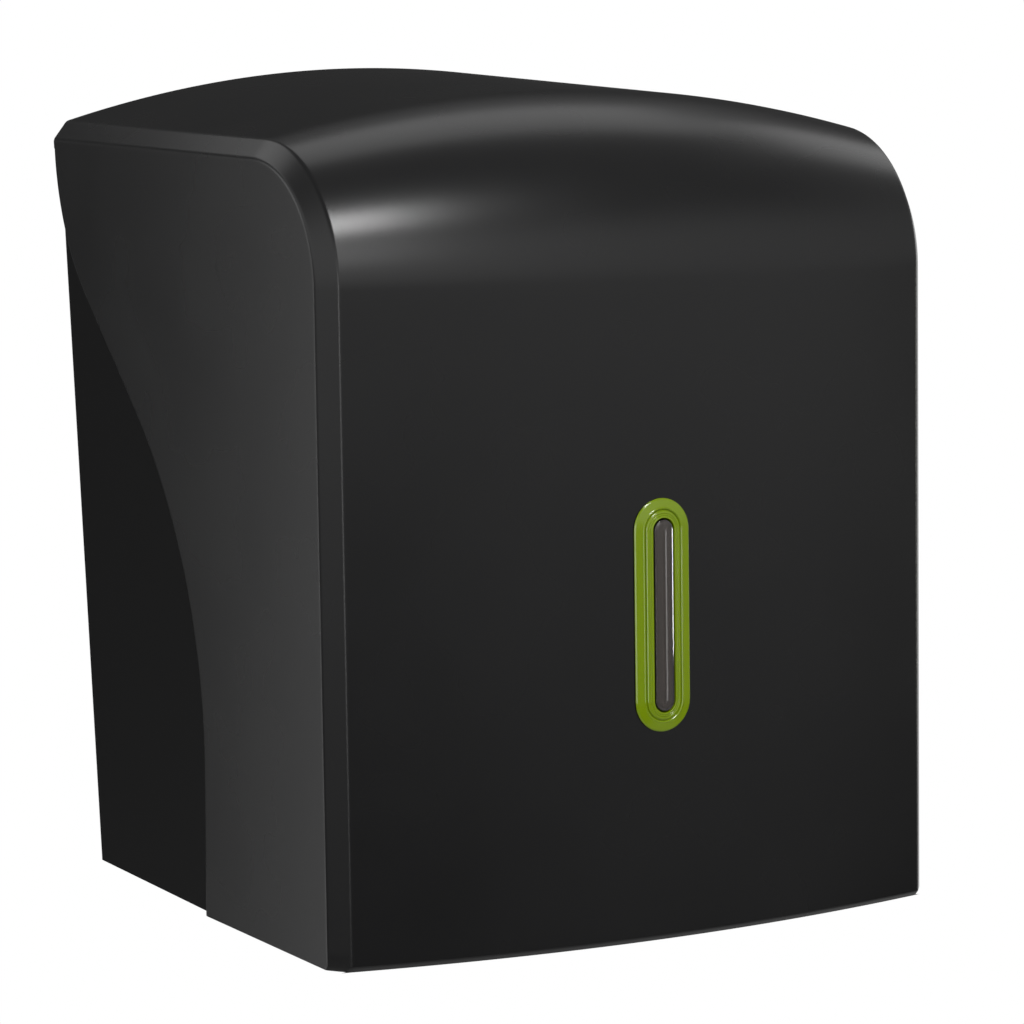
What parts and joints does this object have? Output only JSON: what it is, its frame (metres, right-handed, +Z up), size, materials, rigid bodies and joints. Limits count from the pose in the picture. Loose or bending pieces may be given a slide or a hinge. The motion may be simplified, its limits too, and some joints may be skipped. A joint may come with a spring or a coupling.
{
  "type": "centrefeed roll dispenser",
  "caption": "Wall-mounted centrefeed roll dispenser with a crowned swing-down front cover, level window, side key lock and twist-in outlet nozzle.",
  "frame": {"origin": "on the wall plane, in the middle of the width, level with the lower edges of the cover's sides", "axes": "+X to the viewer's right, +Y into the wall, +Z up; the front faces -Y"},
  "size_m": [0.2594, 0.2225, 0.3074],
  "materials": {
    "cover_plastic": "satin black moulding with soft wide highlights",
    "housing_plastic": "matt black moulding",
    "trim_plastic": "glossy lime green moulding",
    "lens_clear": "clear moulded plastic",
    "lock_metal": "satin plated zinc",
    "pin_steel": "zinc-plated steel"
  },
  "bodies": {
    "housing": {"rear_housing": "housing_plastic", "hinge_pin_left": "pin_steel", "hinge_pin_right": "pin_steel"},
    "cover": {"front_cover": "cover_plastic", "window_trim": "trim_plastic", "window_lens": "lens_clear", "window_retainer": "housing_plastic", "lock_body": "lock_metal", "lock_washer": "pin_steel", "lock_nut": "pin_steel"},
    "lock": {"lock_barrel": "lock_metal", "lock_cam": "pin_steel", "cam_screw": "pin_steel"},
    "nozzle": {"nozzle_insert": "housing_plastic"}
  },
  "joints": [
    {"name": "cover_hinge", "type": "hinge", "parent": "housing", "child": "cover", "pos_m": [0, -0.13, 0.01], "axis": [1, 0, 0], "range_deg": [0, 95]},
    {"name": "lock_turn", "type": "hinge", "parent": "cover", "child": "lock", "pos_m": [0.1271, -0.066, 0.222], "axis": [-0.9992, 0.0401, 0], "range_deg": [0, 90]},
    {"name": "nozzle_turn", "type": "hinge", "parent": "housing", "child": "nozzle", "pos_m": [0, -0.11, 0.017], "axis": [0, 0, 1], "range_deg": [0, 60]}
  ]
}
